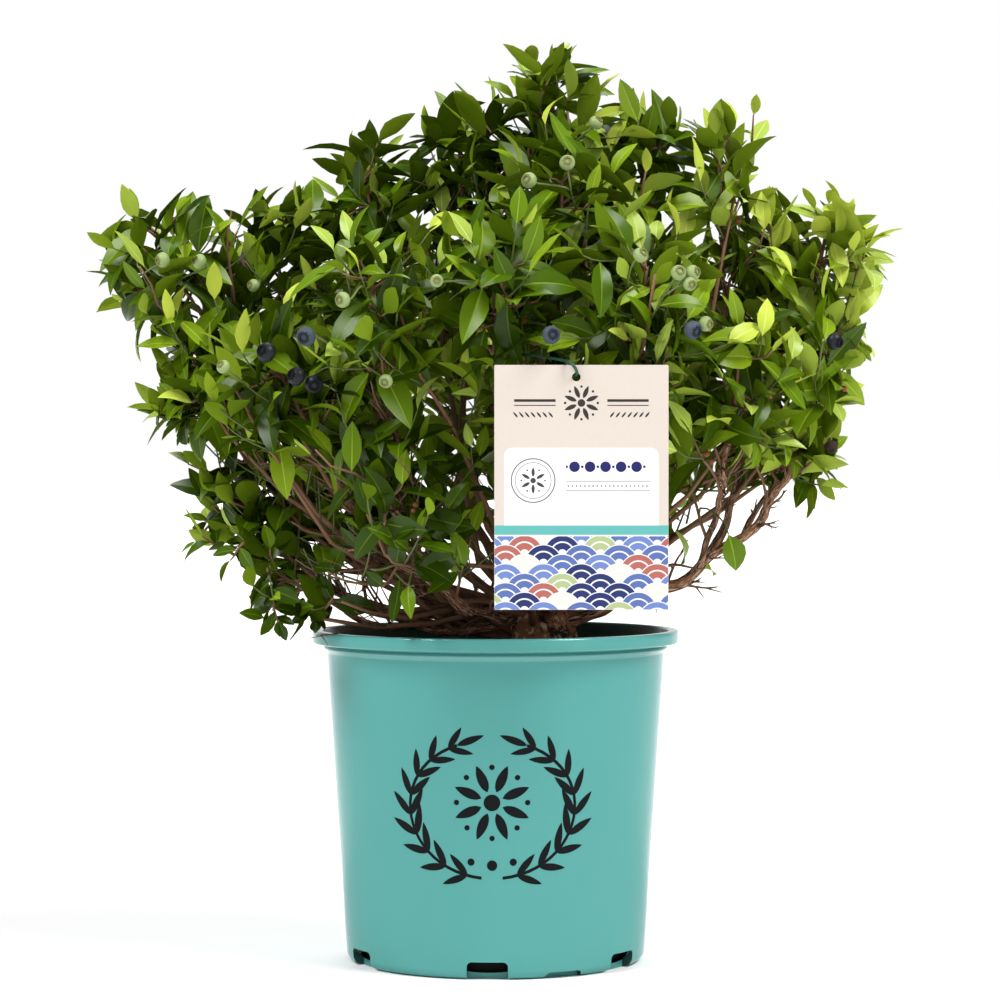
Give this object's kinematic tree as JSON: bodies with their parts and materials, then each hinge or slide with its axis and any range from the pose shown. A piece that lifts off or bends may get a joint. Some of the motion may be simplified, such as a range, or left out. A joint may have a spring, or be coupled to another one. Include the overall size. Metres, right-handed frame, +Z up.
{
  "type": "potted blueberry bush",
  "caption": "Leafy berry bush with many stems in a round tapering nursery pot, with ripe and green berries and a hang tag tied to a branch.",
  "frame": {"origin": "centre of the flat underside of the pot, which the part stands on", "axes": "+Z up, +X to the right and -Y towards the viewer who faces the hang tag"},
  "size_m": [0.4937, 0.3848, 0.5767],
  "materials": {
    "pot": "semi-gloss teal",
    "soil": "moist bark mix",
    "bark": "flaking bark",
    "foliage": "waxy leaves",
    "card": "printed sheet",
    "tie": "cord"
  },
  "bodies": {
    "root": {"pot": "pot", "soil": "soil", "trunk": "bark", "tag_card": "card", "tag_tie": "tie", "bough_left_tip": "bark", "bough_left_shoulder": "bark", "bough_left_long": "bark", "bough_left_low": "bark", "bough_left_skirt": "bark", "bough_left_side": "bark", "bough_upper_left": "bark", "bough_upper_mid": "bark", "bough_peak": "bark", "bough_upper_right": "bark", "bough_right_crest": "bark", "bough_right_tip": "bark", "bough_right_rise": "bark", "bough_right_side": "bark", "bough_right_long": "bark", "bough_front_mid": "bark", "bough_front_left": "bark", "bough_front_right": "bark", "bough_front_low": "bark", "bough_front_crest": "bark", "bough_front_far": "bark", "bough_tag_back": "bark", "bough_back_left": "bark", "bough_back_mid": "bark", "bough_back_right": "bark", "bough_back_low_left": "bark", "bough_back_low_right": "bark", "leaves_left_tip": "foliage", "leaves_left_shoulder": "foliage", "leaves_left_long": "foliage", "leaves_left_low": "foliage", "leaves_left_skirt": "foliage", "leaves_left_side": "foliage", "leaves_upper_left": "foliage", "leaves_upper_mid": "foliage", "leaves_peak": "foliage", "leaves_upper_right": "foliage", "leaves_right_crest": "foliage", "leaves_right_tip": "foliage", "leaves_right_rise": "foliage", "leaves_right_side": "foliage", "leaves_right_long": "foliage", "leaves_front_mid": "foliage", "leaves_front_left": "foliage", "leaves_front_right": "foliage", "leaves_front_low": "foliage", "leaves_front_crest": "foliage", "leaves_front_far": "foliage", "leaves_tag_back": "foliage", "leaves_back_left": "foliage", "leaves_back_mid": "foliage", "leaves_back_right": "foliage", "leaves_back_low_left": "foliage", "leaves_back_low_right": "foliage"}
  },
  "joints": []
}
